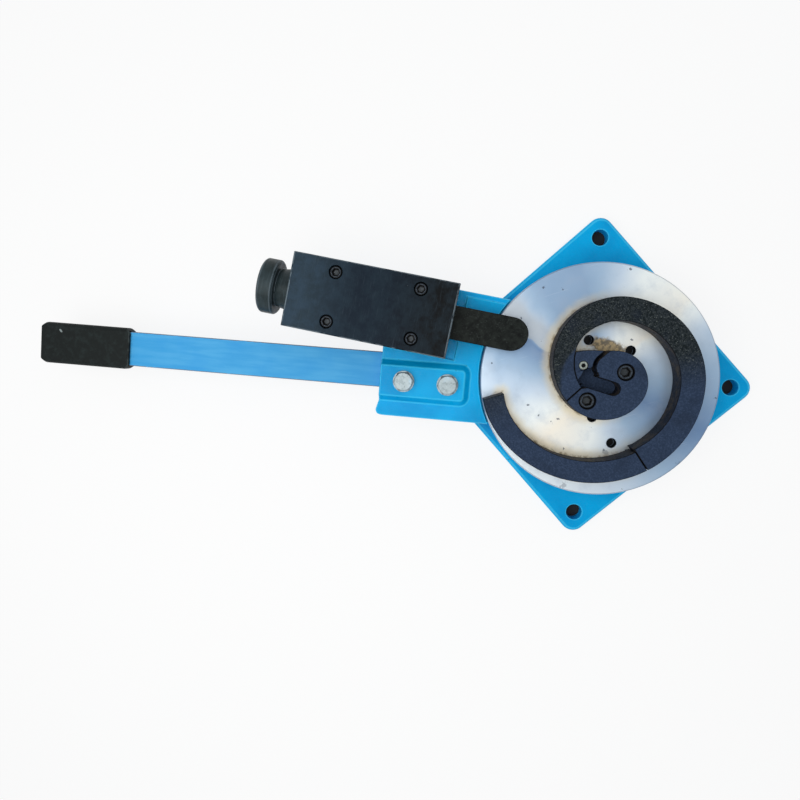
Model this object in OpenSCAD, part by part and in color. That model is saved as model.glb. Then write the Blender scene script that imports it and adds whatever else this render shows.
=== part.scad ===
// Scroll bender: a bench tool that winds flat bar round a three-piece snail former.
// A square cast base carries a fixed pivot post. A swing arm turns on the post, under a
// round steel face plate. The formers sit on the face plate. A sprung follower slides in
// a guide block on the arm and presses the bar on the formers as the lever is pulled.
// The origin is on the pivot axis at the underside of the base. +Z is up, and X and Y
// run along the sides of the base.

/* [Base] */
// Side length of the square base
base_w = 255; // [246:1:300]
// Thickness of the base
base_t = 15; // [13:0.5:24]
// Radius of the base corners in plan
base_corner_r = 14; // [8:1:20]
// Chamfer along the upper edges of the base
base_chamfer = 2.5; // [0.5:0.5:5]
// Distance of the mounting holes from the sides of the base
mount_inset = 19.5; // [15:0.5:24]
// Diameter of the mounting holes
mount_hole_d = 17; // [11:0.5:20]

/* [Pivot] */
// Diameter of the pivot post
post_d = 84; // [80:1:92]
// Radial wall of the bronze bush
bush_wall = 4; // [2:0.5:6]
// Outer diameter of the ring of the swing arm
ring_d = 200; // [150:1:224]
// Height of the ring of the swing arm
ring_h = 34; // [28:1:44]
// Thickness of each thrust washer
washer_t = 1.5; // [1:0.25:3]
// Outer diameter of the thrust washers
washer_d = 140; // [110:1:148]

/* [Face plate] */
// Diameter of the face plate
plate_d = 240; // [236:1:250]
// Thickness of the face plate
plate_t = 12; // [11:0.5:20]
// Chamfer round the face plate
plate_chamfer = 0.8; // [0.2:0.1:2]
// Diameter of the locating dowels of the formers
dowel_d = 10; // [6:0.5:12]
// Depth of the dowels in the face plate
dowel_depth = 10; // [6:0.5:10.5]

/* [Scroll formers] */
// Height of the formers
former_h = 22; // [18:1:30]
// Radius of the first arc of the scroll, round the centre former
scroll_r1 = 32.1; // [31:0.1:33.5]
// Radius of the second arc of the scroll
scroll_r2 = 44.8; // [43.5:0.1:46.5]
// Radius of the third arc of the scroll
scroll_r3 = 64.2; // [62:0.1:66]
// Radius of the fourth arc of the scroll
scroll_r4 = 84.3; // [82.5:0.1:85.5]
// Radius of the fifth arc of the scroll
scroll_r5 = 103.3; // [101.5:0.1:104.5]
// Radius of the sixth arc of the scroll
scroll_r6 = 115; // [113:0.5:115.5]
// Radius of the last arc of the scroll
scroll_r7 = 85.5; // [80:0.5:88]
// Width of the middle former at its root
width_root = 20; // [18:0.5:20.5]
// Width of the middle former on its long even stretch
width_belly = 23.8; // [22:0.1:25]
// Width of the middle former at the joint with the outer former
width_joint = 25; // [23:0.5:27]
// Width of the outer former at the joint
width_outer = 22; // [19:0.5:24]
// Width of the outer former at its free end
width_end = 21; // [17:0.5:23]
// Gap between neighbouring formers
former_gap = 0.8; // [0.6:0.1:1.2]
// Width of the jaw slot that takes the end of the bar
slot_w = 13.4; // [9:0.2:14]
// Width of the narrow branch of the slot, round the lobe
slot_narrow = 3.6; // [2.5:0.1:4.5]
// Radius of the lobe beside the slot
lobe_r = 12; // [11:0.1:13]
// Thickness of the floor under the jaw slot
slot_floor = 4; // [2:0.5:6]

/* [Follower] */
// Width of the follower bar
follower_w = 34; // [30:0.5:36]
// Gap between the follower and the face plate
follower_lift = 0.4; // [0.3:0.1:1]
// Distance of the follower nose from the pivot axis, along the slide, at rest
nose_reach = 81.7; // [81:0.1:90]
// Length of the follower inside the guide block at rest
follower_tail = 52; // [46:1:54]
// Sideways distance of the slide from the pivot axis
slide_offset = 27.4; // [24:0.2:30]
// Travel of the follower away from the pivot axis
follower_travel = 47; // [44:0.5:48]
// Travel of the follower towards the pivot axis
follower_lead = 1.5; // [1.4:0.1:2]
// Diameter of the follower stop pin
stop_pin_d = 8; // [5:0.5:9]

/* [Guide block] */
// Length of the guide block
block_len = 168; // [166:1:180]
// Width of the guide block
block_w = 75; // [73:1:84]
// Height of the guide block
block_h = 50; // [46:1:60]
// Wall under the slide in the guide block
block_floor = 8.5; // [7.5:0.5:14]
// Rear wall of the guide block
block_rear = 14; // [10:1:15]
// Distance of the front face of the guide block from the pivot axis
block_front = 158.5; // [156:0.5:162]
// Spacing of the guide block screws along the block
block_screw_x = 86; // [80:1:92]
// Spacing of the guide block screws across the block
block_screw_y = 49.5; // [49:0.5:52]
// Chamfer along the upper edges of the guide block
block_chamfer = 1; // [0.5:0.25:2]

/* [Spring adjuster] */
// Outer diameter of the follower spring
spring_d = 20; // [17:0.5:21]
// Wire diameter of the follower spring
spring_wire = 2.5; // [2:0.1:2.8]
// Turns of the follower spring
spring_turns = 8; // [5:1:8]
// Diameter of the adjuster spindle
spindle_d = 12; // [8:0.5:12]
// Diameter of the spindle collar
collar_d = 20; // [16:0.5:21]
// Thickness of the spindle collar
collar_t = 5; // [3:0.5:8]
// Thickness of the spring seat nut
seat_t = 14; // [10:0.5:16]
// Travel of the spring seat nut
seat_travel = 12; // [6:1:12]
// Diameter of the rim of the adjuster knob
knob_d = 57; // [50:1:60]
// Length of the rim of the adjuster knob
knob_rim_len = 17; // [12:0.5:24]
// Diameter of the neck of the adjuster knob
knob_neck_d = 45; // [38:1:48]
// Length of the neck of the adjuster knob
knob_neck_len = 16; // [12:0.5:24]
// Diameter of the set screw of the adjuster knob
set_screw_d = 6; // [4:1:8]

/* [Swing arm and handle] */
// Angle from +X at which the lever is parked
park_angle = 224.5; // [180:0.5:270]
// Angle from the handle to the slide of the follower
slide_angle = -7.1; // [-8:0.1:-6]
// Distance of the outer end of the handle socket from the pivot axis
socket_end = 225; // [215:1:240]
// Depth of the handle socket
socket_depth = 96; // [80:1:98]
// Width of the handle bar
bar_w = 38; // [32:1:40]
// Thickness of the handle bar
bar_t = 10; // [8:0.5:12]
// Distance of the far end of the handle bar from the pivot axis
bar_end = 608; // [500:1:700]
// Sideways distance of the handle bar from the pivot axis
bar_offset = 8; // [6:0.5:10]
// Sideways distance of the clamp bolts from the pivot axis
clamp_offset = 18; // [16:0.5:20]
// Spacing of the clamp bolts
clamp_spacing = 46; // [38:1:54]
// Thickness of the pad over the handle bar
pad_roof = 14; // [12:0.5:18]
// Height of the pad above the arm
pad_h = 8; // [5:0.5:10]
// Thickness of the arm under the handle bar
socket_floor = 14; // [8:0.5:14]
// Length of the hand grip
grip_len = 104; // [80:1:140]
// Wall of the hand grip round the bar
grip_wall = 4; // [2:0.5:5]

/* [Fasteners] */
// Thread diameter of the guide block, post and face plate screws
screw_d = 8; // [6:1:8]
// Thread diameter of the centre former screws
former_screw_d = 10; // [8:1:10]
// Thread diameter of the jaw screw
jaw_screw_d = 8; // [5:1:8]
// Thread diameter of the handle clamp bolts
clamp_bolt_d = 12; // [8:1:14]

/* [Fits] */
// Radial clearance of turning and sliding round fits
running = 0.05; // [0.02:0.01:0.1]
// Clearance on each side of the follower in its slide
slide_gap = 0.05; // [0.02:0.01:0.15]
// Axial play of turning pieces between their shoulders
axial_play = 0.1; // [0.05:0.05:0.3]
// Clearance of loose fits, such as screw holes and pockets
loose = 0.4; // [0.3:0.1:0.8]

/* [Hidden] */
$fn = 96;
// Small lap that joins two solids, or keeps two apart
eps = 0.02;
// Length by which a cut runs past the faces it opens
over = 1;

// Colours of the finished pieces
cast_blue = [0.02, 0.62, 0.90];
bar_blue = [0.30, 0.66, 0.92];
bright_steel = [0.78, 0.80, 0.82];
dark_steel = [0.17, 0.19, 0.24];
black_steel = [0.08, 0.08, 0.09];
zinc = [0.86, 0.88, 0.86];
bronze = [0.72, 0.55, 0.28];

// Heights, from the base upwards
ring_z = base_t + washer_t;
ring_top = ring_z + ring_h;
plate_z = ring_top + washer_t + axial_play;
plate_top = plate_z + plate_t;
former_top = plate_top + former_h;
follower_z = plate_top + follower_lift;
follower_h = former_h - follower_lift;
slide_z = follower_z + follower_h / 2;
seat_z = follower_z - slide_gap - block_floor;
seat_depth = 4;
arm_top = seat_z + seat_depth;
pad_top = arm_top + pad_h;
bar_top = pad_top - pad_roof;
bar_z = bar_top - bar_t;
web_z = bar_z - socket_floor;
tongue_t = 22;

// Spacing of the four mounting holes, both ways
mount_spacing = base_w - 2 * mount_inset;

// Radii about the pivot
post_r = post_d / 2;
bush_bore_r = post_r + running;
bush_r = bush_bore_r + bush_wall;
plate_r = plate_d / 2;
plate_clear = 1.5;
washer_clear = 0.3;
low_spigot_r = 20;
low_spigot_h = 10;
top_spigot_r = 12;
top_spigot_h = 8;

// Socket cap screws, sized from their thread
function cap_head_d(d) = 1.5 * d + 1;
function cap_head_h(d) = d;
function cap_hex(d) = 0.8 * d;
head_chamfer = 0.6;
head_sink = 1;
low_head = 0.6;
thread_len = 15;
// Depth of a thread left empty below the tip of its screw
tip_gap = 1;

// Screws about the pivot
post_screw_circle = 28;
post_screw_head_z = 9;
post_screw_places = on_circle(post_screw_circle, [45, 135, 225, 315]);
plate_screw_circle = 22;
plate_screw_places = on_circle(plate_screw_circle, [-10, 110, 230]);
plate_screw_z = plate_top - low_head * cap_head_h(screw_d) - head_sink;
former_screw_places = [[7.3, 21.5], [5, -24.9]];
former_screw_z = former_top - cap_head_h(former_screw_d) - head_sink;
jaw_screw_place = [[-24.7, -5.1]];

// The scroll: arcs joined end to end, each turning clockwise by its own angle
scroll_start = [-19.8, 21.8];
scroll_heading = 61.7;
scroll_arcs = [
  [scroll_r1, 140.3], [scroll_r2, 98.8], [scroll_r3, 138.3], [scroll_r4, 90.5],
  [scroll_r5, 66.5], [scroll_r6, 72.6], [scroll_r7, 32]
];
// Turns along the scroll where the formers meet and end, and the lean of each end face
turn_root = 244.5;
turn_jaw = 295.5;
turn_joint = 523.3;
turn_end = 633.5;
lean_root = 5;
lean_joint = 4;
lean_end = 8;
arc_step = 3;
// Turn left out of the inner outline beside an end face
face_margin = 4;
// Widths of the formers at stations along the scroll
middle_widths = [
  [turn_root, width_root], [300, width_root + 0.5], [360, width_belly], [490, width_belly],
  [turn_joint, width_joint]
];
outer_widths = [
  [turn_joint, width_outer], [555, width_outer], [603, width_end], [turn_end, width_end]
];

function ahead(h) = [cos(h), sin(h)];
function side(h) = [sin(h), -cos(h)];
// Point, heading and turn at the start of arc k
function scroll_at(k) = k == 0 ? [scroll_start, scroll_heading, 0] :
  let (q = scroll_at(k - 1), a = scroll_arcs[k - 1], h = q[1] - a[1])
  [q[0] + a[0] * (side(q[1]) - side(h)), h, q[2] + a[1]];
starts = [for (k = [0 : len(scroll_arcs) - 1]) scroll_at(k)];
// Point of the scroll at a turn, moved inwards by w
function scroll_point(turn, w = 0) =
  let (k = max([for (i = [0 : len(starts) - 1]) starts[i][2] <= turn ? i : 0]),
       h = starts[k][1] - (turn - starts[k][2]))
  starts[k][0] + scroll_arcs[k][0] * (side(starts[k][1]) - side(h)) + w * side(h);
// Inner corner of an end face that leans by an angle from square to the scroll
function face_corner(turn, lean, w) =
  scroll_point(turn) + w / cos(lean) * ahead(scroll_heading - turn - 90 + lean);
// Turns from a to b, in steps of at most arc_step
function turns(a, b) = let (n = ceil((b - a) / arc_step)) [for (i = [0 : n]) a + (b - a) * i / n];
function reversed(list) = [for (i = [len(list) - 1 : -1 : 0]) list[i]];
function eased(t) = (1 - cos(180 * min(1, max(0, t)))) / 2;
// Width at a turn, eased between the stations of a table
function width_at(table, turn) =
  let (k = max([for (i = [0 : len(table) - 2]) table[i][0] <= turn ? i : 0]),
       a = table[k], b = table[k + 1])
  a[1] + (b[1] - a[1]) * eased((turn - a[0]) / (b[0] - a[0]));
// Points from a to b along a shallow bow that stands out by rise
function bowed(a, b, rise) = let (out = [a[1] - b[1], b[0] - a[0]] / norm(b - a))
  [for (t = [0.2 : 0.2 : 0.8]) a + (b - a) * t + out * rise * 4 * t * (1 - t)];
function on_circle(r, angles) = [for (a = angles) r * ahead(a)];
function corners(x, dx, dy) = [for (i = [-1, 1], j = [-1, 1]) [x + i * dx / 2, j * dy / 2]];

// Jaw slot: a wide slot with a round end, a pocket at its root and a narrow branch
slot_angle = 31.5;
slot_end = [12.2, 2];
slot_len = 27;
lobe_at = [-7, 12];
jaw_bow = 1.5;
pocket = [
  [-9.8, 1], [-17.6, -0.5], [-19.9, -4.2], [-20.4, -8.6],
  [-17.9, -14], [-17.1, -19], [-8, -21], [0, -8]
];
jaw_side = [[-21, 40], [-21, 12], [-18, 0], [-19, -10], [-16.5, -20], [-60, -40], [-60, 40]];

// Dowels of the loose formers, as turns along the scroll, and spare dowel holes
dowel_rise = 10;
middle_dowel_places = [for (t = [345, 470]) scroll_point(t, width_at(middle_widths, t) / 2)];
outer_dowel_places = [for (t = [540, 600]) scroll_point(t, width_at(outer_widths, t) / 2)];
spare_holes = [[-37.5, 18.9], [-1.8, 43.4], [59.2, -31.9], [25.8, -29.4]];

// Along the slide, measured from the pivot axis
nose_r = follower_w / 2;
block_end = block_front + block_len;
slide_end = block_end - block_rear;
tail_x = block_front + follower_tail;
collar_x = slide_end - axial_play - collar_t;
seat_x = collar_x - axial_play - seat_t;
block_screw_shift = 4;
block_screw_mid = block_front + block_len / 2 - block_screw_shift;
block_screw_places = corners(block_screw_mid, block_screw_x, block_screw_y);
block_screw_z = seat_z + block_h - cap_head_h(screw_d) - head_sink;
// The seat of the block runs on in front of it, and the tongue under it is a little smaller
seat_room = 10;
pocket_x = block_front - seat_room;
neck_inset = 7;
neck_w = block_w - 2 * neck_inset;
tongue_inset = 1.5;
tongue_w = block_w - 2 * tongue_inset;
tongue_end = block_end - 4 * tongue_inset;
stop_pin_inset = 14;
stop_pin_x = tail_x - stop_pin_inset;
stop_slot_h = 6.5;
stop_slot_spare = 1;
spring_sides = 6;
spring_rings = 8;
spring_clear = 0.4;
// The straight stretches between the rings of the wire reach in a little
tail_spigot_r = (spring_d / 2 - spring_wire) * cos(180 / spring_rings) - spring_clear;
tail_spigot_len = 7;
spring_r = (spring_d - spring_wire) / 2;
spring_x = tail_x + spring_wire / 2 + eps;
spring_len = seat_x - tail_x - spring_wire - 2 * eps;
spring_pitch = spring_len / spring_turns;
spring_lean = atan(spring_pitch / (2 * PI * spring_r));
spindle_spare = 2;
spindle_x = seat_x - seat_travel - spindle_spare;
knob_x = block_end + axial_play;
knob_rim_x = knob_x + knob_neck_len;
knob_end = knob_rim_x + knob_rim_len;
knob_cap = 6;
knob_taper = 3;
knob_chamfer = 2;
set_screw_x = knob_x + knob_neck_len / 2;

// Across and along the handle
pad_w = 44;
pad_len = 95;
pad_slope = 6;
pad_corner_r = 10;
// The pad runs on past the socket end, where it is cut off square
pad_run = pad_len + 2 * pad_corner_r;
body_far_y = -22;
body_near_y = 56.5;
flange_out = 3;
socket_x = socket_end - socket_depth;
clamp_inset = 48.5;
clamp_places = [for (i = [-1, 1]) [socket_end - clamp_inset + i * clamp_spacing / 2, clamp_offset]];
clamp_hex = 1.5 * clamp_bolt_d + 1;
clamp_head_h = 0.62 * clamp_bolt_d;
clamp_turn = 8;
// Flange of a hexagon bolt: its rim outside the corners of the head, and its height
flange_rim = 0.3;
flange_h = 1.8;
bar_end_gap = 1;
grip_w = bar_w + 2 * grip_wall;
grip_t = bar_t + 2 * grip_wall;
grip_cap = 4;
grip_chamfer = 5;
grip_edge_r = 5;

module at_lever() rotate([0, 0, park_angle]) children();
module at_slide() rotate([0, 0, park_angle + slide_angle]) translate([0, -slide_offset, 0]) children();
module at_each(places, z) for (p = places) translate([p[0], p[1], z]) children();
module along_x(x, z) translate([x, 0, z]) rotate([0, 90, 0]) children();

// Rectangle with round corners, made of squares and circles
module rounded_square(w, h, r) {
  square([w - 2 * r, h], center = true);
  square([w, h - 2 * r], center = true);
  for (p = corners(0, w - 2 * r, h - 2 * r)) translate(p) circle(r);
}

// Section of a slab of width w and height t, whose upper edges slope in by c over a drop d
module slab_section(w, t, c, d)
  polygon([[-w / 2, 0], [w / 2, 0], [w / 2, t - d], [w / 2 - c, t], [c - w / 2, t], [-w / 2, t - d]]);

// Plate l by w with round corners, whose upper edges slope in by c over a drop d
module sloped_plate(l, w, t, r, c, d) {
  rotate([90, 0, 0]) linear_extrude(w - 2 * r, center = true) slab_section(l, t, c, d);
  rotate([90, 0, 90]) linear_extrude(l - 2 * r, center = true) slab_section(w, t, c, d);
  at_each(corners(0, l - 2 * r, w - 2 * r), 0) {
    cylinder(r = r, h = t - d);
    translate([0, 0, t - d]) cylinder(r1 = r, r2 = r - c, h = d);
  }
}

// Block on x = 0 to l with a chamfer c along its upper edges
module chamfered_block(l, w, h, c) intersection() {
  rotate([90, 0, 90]) linear_extrude(l) slab_section(w, h, c, c);
  translate([l / 2, 0, 0]) rotate([90, 0, 0]) linear_extrude(w, center = true) slab_section(l, h, c, c);
}

// Disc with chamfers at both rims
module chamfered_disc(r, h, c) {
  cylinder(r1 = r - c, r2 = r, h = c);
  translate([0, 0, c]) cylinder(r = r, h = h - 2 * c);
  translate([0, 0, h - c]) cylinder(r1 = r, r2 = r - c, h = c);
}

module ring(r_in, r_out, h) difference() {
  cylinder(r = r_out, h = h);
  translate([0, 0, -1]) cylinder(r = r_in, h = h + 2);
}

// Socket cap screw: the head stands on z = 0, and the shank hangs below
module cap_screw(d, shank, share = 1) {
  head_h = share * cap_head_h(d);
  head_r = cap_head_d(d) / 2;
  difference() {
    union() {
      cylinder(r = head_r, h = head_h - head_chamfer);
      translate([0, 0, head_h - head_chamfer])
        cylinder(r1 = head_r, r2 = head_r - head_chamfer, h = head_chamfer);
    }
    translate([0, 0, head_h / 2]) cylinder(d = cap_hex(d) / cos(30), h = head_h, $fn = 6);
  }
  translate([0, 0, -shank]) cylinder(d = d, h = shank);
}

// Hole for a cap screw: a counterbore above z = 0 and a clear hole below
module cap_hole(d, up, down) {
  cylinder(r = cap_head_d(d) / 2 + loose, h = up);
  translate([0, 0, -down]) cylinder(r = d / 2 + loose, h = down + eps);
}

// Headless screw from z = 0 to l, with its hexagon socket at the top
module set_screw(d, l) difference() {
  cylinder(d = d, h = l);
  translate([0, 0, l - d / 2]) cylinder(d = d / 2 / cos(30), h = d, $fn = 6);
}

// Threaded hole for a screw, from a mouth that lies out above z = 0
module thread_hole(d, out) cylinder(d = d, h = out + thread_len + tip_gap);

// Hexagon bolt with a thin round flange under its chamfered head, which stands on z = 0
module hex_bolt(d, across, head_h, shank) {
  chamfer_h = 0.35 * head_h;
  corner_r = across / 2 / cos(30);
  cylinder(r = corner_r + flange_rim, h = flange_h);
  intersection() {
    cylinder(r = corner_r, h = head_h, $fn = 6);
    union() {
      cylinder(r = corner_r + 1, h = head_h - chamfer_h);
      translate([0, 0, head_h - chamfer_h])
        cylinder(r1 = corner_r + 1, r2 = across / 2 - 0.5, h = chamfer_h);
    }
  }
  translate([0, 0, -shank]) cylinder(d = d, h = shank);
}

// ---- Base and pivot ----

module base_plate() color(cast_blue) difference() {
  sloped_plate(base_w, base_w, base_t, base_corner_r, base_chamfer, base_chamfer);
  at_each(corners(0, mount_spacing, mount_spacing), -over) cylinder(d = mount_hole_d, h = base_t + 2 * over);
  translate([0, 0, base_t - low_spigot_h - loose]) cylinder(r = low_spigot_r + running, h = base_t);
  at_each(post_screw_places, post_screw_head_z) mirror([0, 0, 1]) cap_hole(screw_d, base_t, base_t);
}

module pivot_post() color(bright_steel) difference() {
  union() {
    translate([0, 0, base_t]) cylinder(r = post_r, h = plate_z - base_t);
    translate([0, 0, base_t - low_spigot_h]) cylinder(r = low_spigot_r, h = low_spigot_h + eps);
    translate([0, 0, plate_z - eps]) cylinder(r = top_spigot_r, h = top_spigot_h + eps);
  }
  at_each(post_screw_places, base_t - over) thread_hole(screw_d, over);
  at_each(plate_screw_places, plate_z + over) mirror([0, 0, 1]) thread_hole(screw_d, over);
  at_each(former_screw_places, plate_z + over) mirror([0, 0, 1]) thread_hole(former_screw_d, over);
}

module post_screws() color(black_steel)
  at_each(post_screw_places, post_screw_head_z) mirror([0, 0, 1])
    cap_screw(screw_d, base_t - post_screw_head_z + thread_len);

module lower_thrust_washer() color(bronze)
  translate([0, 0, base_t]) ring(post_r + washer_clear, washer_d / 2, washer_t);

module upper_thrust_washer() color(bronze)
  translate([0, 0, ring_top]) ring(post_r + washer_clear, washer_d / 2, washer_t);

module pivot_bush() color(bronze)
  translate([0, 0, ring_z]) ring(bush_bore_r, bush_r, ring_h);

module face_plate() color(bright_steel) difference() {
  translate([0, 0, plate_z]) chamfered_disc(plate_r, plate_t, plate_chamfer);
  translate([0, 0, plate_z - over]) cylinder(r = top_spigot_r + running, h = top_spigot_h + over + loose);
  at_each(plate_screw_places, plate_screw_z) cap_hole(screw_d, plate_t, plate_t);
  at_each(former_screw_places, plate_z - over) cylinder(d = former_screw_d, h = plate_t + 2 * over);
  at_each(jaw_screw_place, plate_z + tip_gap) cylinder(d = jaw_screw_d, h = plate_t);
  at_each(concat(middle_dowel_places, outer_dowel_places, spare_holes), plate_top - dowel_depth - loose)
    cylinder(r = dowel_d / 2 + running, h = plate_t);
}

module face_plate_screws() color(black_steel)
  at_each(plate_screw_places, plate_screw_z)
    cap_screw(screw_d, plate_screw_z - plate_z + thread_len, low_head);

// ---- Formers ----

// Strip inside the scroll between two end faces, given as [turn, lean]
module scroll_band(table, from, to) {
  inner = [for (t = turns(from[0] + face_margin, to[0] - face_margin)) scroll_point(t, width_at(table, t))];
  polygon(concat(
    [for (t = turns(from[0], to[0])) scroll_point(t)],
    [face_corner(to[0], to[1], width_at(table, to[0]))],
    reversed(inner),
    [face_corner(from[0], from[1], width_at(table, from[0]))]
  ));
}

// Cut along an end face, as wide as the gap between formers
module face_cut(turn, lean) translate(scroll_point(turn)) rotate(scroll_heading - turn + lean)
  translate([-former_gap / 2, -width_belly - over]) square([former_gap, width_belly + 5 * over]);

// All that lies inside the scroll as far as the root of the middle former
module centre_plan() {
  half_gap = former_gap / 2;
  beside_middle = [
    for (t = turns(turn_root + face_margin, turn_jaw)) scroll_point(t, width_at(middle_widths, t) + half_gap)
  ];
  difference() {
    polygon(concat(
      [for (t = turns(0, turn_root)) scroll_point(t)],
      [face_corner(turn_root, lean_root, width_root + half_gap)],
      beside_middle,
      bowed(beside_middle[len(beside_middle) - 1], scroll_start, jaw_bow)
    ));
    face_cut(turn_root, lean_root);
  }
}

module slot_plan() {
  translate(slot_end) circle(d = slot_w);
  translate(slot_end) rotate(slot_angle) translate([-slot_len, -slot_w / 2]) square([slot_len, slot_w]);
  polygon(pocket);
  branch_r = lobe_r + slot_narrow;
  translate(lobe_at) difference() {
    union() {
      intersection() {
        circle(branch_r);
        translate([-branch_r, -branch_r]) square(branch_r);
      }
      translate([-branch_r, 0]) square([slot_narrow, 3 * lobe_r]);
    }
    circle(lobe_r);
  }
}

module centre_former() color(dark_steel) difference() {
  union() {
    translate([0, 0, plate_top]) linear_extrude(slot_floor) centre_plan();
    translate([0, 0, plate_top]) linear_extrude(former_h) difference() {
      centre_plan();
      slot_plan();
      polygon(jaw_side);
    }
  }
  at_each(former_screw_places, former_screw_z) cap_hole(former_screw_d, former_h, former_h);
  at_each(jaw_screw_place, plate_top - over) cylinder(d = jaw_screw_d, h = former_h);
}

module centre_former_screws() color(black_steel)
  at_each(former_screw_places, former_screw_z)
    cap_screw(former_screw_d, former_screw_z - plate_z + thread_len);

module jaw_insert() color(dark_steel) difference() {
  translate([0, 0, plate_top + slot_floor]) linear_extrude(former_h - slot_floor) intersection() {
    difference() {
      centre_plan();
      slot_plan();
    }
    polygon(jaw_side);
  }
  at_each(jaw_screw_place, plate_top) cylinder(r = jaw_screw_d / 2 + loose, h = former_h + over);
}

module jaw_screw() color(zinc) at_each(jaw_screw_place, plate_z + tip_gap)
  set_screw(jaw_screw_d, plate_t + former_h - tip_gap - head_chamfer);

// Former that lifts off its dowels
module loose_former(table, from, to, places) color(dark_steel) difference() {
  translate([0, 0, plate_top]) linear_extrude(former_h) difference() {
    scroll_band(table, from, to);
    face_cut(from[0], from[1]);
    face_cut(to[0], to[1]);
  }
  at_each(places, plate_top - over) cylinder(d = dowel_d, h = dowel_rise + over + loose);
}

module middle_former() loose_former(
  middle_widths, [turn_root, lean_root], [turn_joint, lean_joint], middle_dowel_places);

module outer_former() loose_former(
  outer_widths, [turn_joint, lean_joint], [turn_end, lean_end], outer_dowel_places);

module dowels(places) color(bright_steel)
  at_each(places, plate_top - dowel_depth)
    chamfered_disc(dowel_d / 2, dowel_depth + dowel_rise, head_chamfer);

module middle_former_dowels() dowels(middle_dowel_places);

module outer_former_dowels() dowels(outer_dowel_places);

// ---- Swing arm ----

// Handle socket seen from above, with the flange that stands out at its near corner
module socket_plan() polygon([
  [0, body_far_y], [socket_end, body_far_y], [socket_end, clamp_offset + pad_w / 2],
  [socket_end + flange_out, body_near_y - 5], [socket_end + flange_out - 2, body_near_y - 1],
  [socket_end - 4, body_near_y], [0, body_near_y]
]);

module swing_arm() color(cast_blue) difference() {
  union() {
    translate([0, 0, ring_z]) cylinder(r = ring_d / 2, h = ring_h);
    at_lever() {
      translate([0, 0, web_z]) linear_extrude(arm_top - web_z) socket_plan();
      // The pad ends flush with the socket
      difference() {
        translate([socket_end - pad_len + pad_run / 2, clamp_offset, bar_z])
          sloped_plate(pad_run, pad_w, pad_top - bar_z, pad_corner_r, pad_slope, pad_h);
        translate([socket_end, clamp_offset - pad_w, bar_z - over]) cube([pad_len, 2 * pad_w, pad_top]);
      }
    }
    at_slide() {
      translate([0, -neck_w / 2, web_z]) cube([pocket_x, neck_w, arm_top - web_z]);
      translate([0, -tongue_w / 2, seat_z - tongue_t]) cube([tongue_end, tongue_w, tongue_t]);
    }
  }
  // Room for the face plate, the bush and the guide block
  translate([0, 0, ring_top]) cylinder(r = plate_r + plate_clear, h = plate_t + former_h);
  translate([0, 0, ring_z - over]) cylinder(r = bush_r, h = ring_h + 2 * over);
  at_slide() translate([pocket_x, -block_w, seat_z])
    cube([block_len, 1.5 * block_w + loose, block_h]);
  at_lever() {
    translate([socket_x, bar_offset - bar_w / 2 - loose, bar_z])
      cube([socket_depth + over, bar_w + 2 * loose, bar_t + loose]);
    at_each(clamp_places, bar_z + bar_t / 2) cylinder(d = clamp_bolt_d, h = pad_top);
  }
  at_slide() at_each(block_screw_places, seat_z + over) mirror([0, 0, 1]) thread_hole(screw_d, over);
}

module guide_block() color(black_steel) at_slide() difference() {
  translate([block_front, 0, seat_z]) chamfered_block(block_len, block_w, block_h, block_chamfer);
  translate([block_front - over, -follower_w / 2 - slide_gap, follower_z - slide_gap])
    cube([block_len - block_rear + over, follower_w + 2 * slide_gap, follower_h + 2 * slide_gap]);
  along_x(slide_end - over, slide_z) cylinder(r = spindle_d / 2 + running, h = block_rear + 2 * over);
  at_each(block_screw_places, block_screw_z) cap_hole(screw_d, block_h, block_h);
  translate([stop_pin_x, 0, seat_z - over]) cylinder(d = stop_pin_d, h = block_floor + 2 * over);
}

module guide_block_screws() color(black_steel)
  at_slide() at_each(block_screw_places, block_screw_z)
    cap_screw(screw_d, block_screw_z - seat_z + thread_len);

module follower_stop_pin() color(bright_steel)
  at_slide() translate([stop_pin_x, 0, seat_z])
    cylinder(d = stop_pin_d, h = follower_z - seat_z + stop_slot_h - stop_slot_spare);

module handle_bar() color(bar_blue) at_lever()
  translate([socket_x + bar_end_gap, bar_offset - bar_w / 2, bar_z])
    cube([bar_end - socket_x - bar_end_gap, bar_w, bar_t]);

module handle_clamp_bolts() color(zinc)
  at_lever() at_each(clamp_places, pad_top) rotate(clamp_turn)
    hex_bolt(clamp_bolt_d, clamp_hex, clamp_head_h, pad_roof);

module handle_grip() color(black_steel) at_lever()
  translate([bar_end + grip_cap - grip_len, bar_offset, bar_z + bar_t / 2]) difference() {
    intersection() {
      rotate([90, 0, 90]) linear_extrude(grip_len) rounded_square(grip_w, grip_t, grip_edge_r);
      linear_extrude(grip_t, center = true) polygon([
        [0, grip_chamfer - grip_w / 2], [grip_chamfer, -grip_w / 2], [grip_len - grip_chamfer, -grip_w / 2],
        [grip_len, grip_chamfer - grip_w / 2], [grip_len, grip_w / 2 - grip_chamfer],
        [grip_len - grip_chamfer, grip_w / 2], [grip_chamfer, grip_w / 2], [0, grip_w / 2 - grip_chamfer]
      ]);
    }
    translate([-over, -bar_w / 2, -bar_t / 2]) cube([grip_len - grip_cap + over, bar_w, bar_t]);
  }

// ---- Follower and spring adjuster ----

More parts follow.
